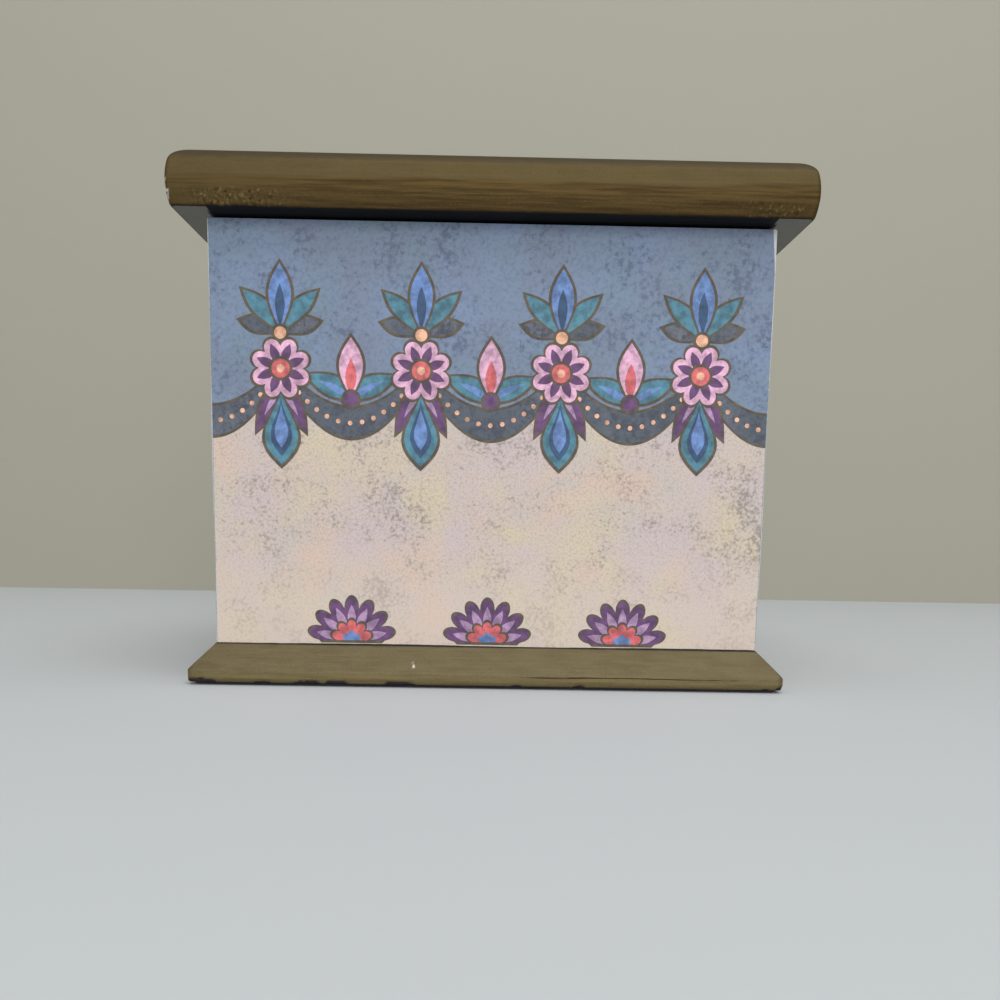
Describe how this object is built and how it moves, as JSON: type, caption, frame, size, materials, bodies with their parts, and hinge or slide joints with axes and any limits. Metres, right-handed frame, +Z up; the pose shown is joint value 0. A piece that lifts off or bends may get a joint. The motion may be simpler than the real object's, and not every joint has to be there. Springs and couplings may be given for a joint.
{
  "type": "keepsake box",
  "caption": "Small wooden keepsake box with printed-paper walls, a flared bronze-painted plinth and a thick bullnosed lid that swings up on butt hinges at the back.",
  "frame": {"origin": "under the middle of the box, on the surface that its base felt rests on", "axes": "+X to the right seen from the front, +Y from the front to the hinged back, +Z up"},
  "size_m": [0.156, 0.116, 0.1288],
  "materials": {
    "bronze_paint": "hand-brushed metallic bronze paint over wood, worn to a dark undercoat at the edges",
    "dark_paint": "satin black paint over wood",
    "printed_paper": "matte printed paper with a mottled ground",
    "felt": "short pressed felt",
    "brass": "dull aged brass",
    "steel": "plain bright steel",
    "bumper": "matte soft rubber"
  },
  "bodies": {
    "box": {"base_felt": "felt", "plinth": "bronze_paint", "front_wall": "dark_paint", "back_wall": "dark_paint", "left_wall": "dark_paint", "right_wall": "dark_paint", "front_paper": "printed_paper", "back_paper": "printed_paper", "left_paper": "printed_paper", "right_paper": "printed_paper", "floor_lining": "felt", "plinth_screws": "steel", "corner_brads": "steel", "left_hinge_wall_leaf": "brass", "left_hinge_pin": "brass", "right_hinge_wall_leaf": "brass", "right_hinge_pin": "brass", "hinge_wall_screws": "brass", "lid_bumpers": "bumper"},
    "lid": {"lid_board": "bronze_paint", "lid_lining": "felt", "left_hinge_lid_leaf": "brass", "right_hinge_lid_leaf": "brass", "hinge_lid_screws": "brass"}
  },
  "joints": [
    {"name": "lid_hinge", "type": "hinge", "parent": "box", "child": "lid", "pos_m": [0, 0.0519, 0.11475], "axis": [-1, 0, 0], "range_deg": [0, 115]}
  ]
}
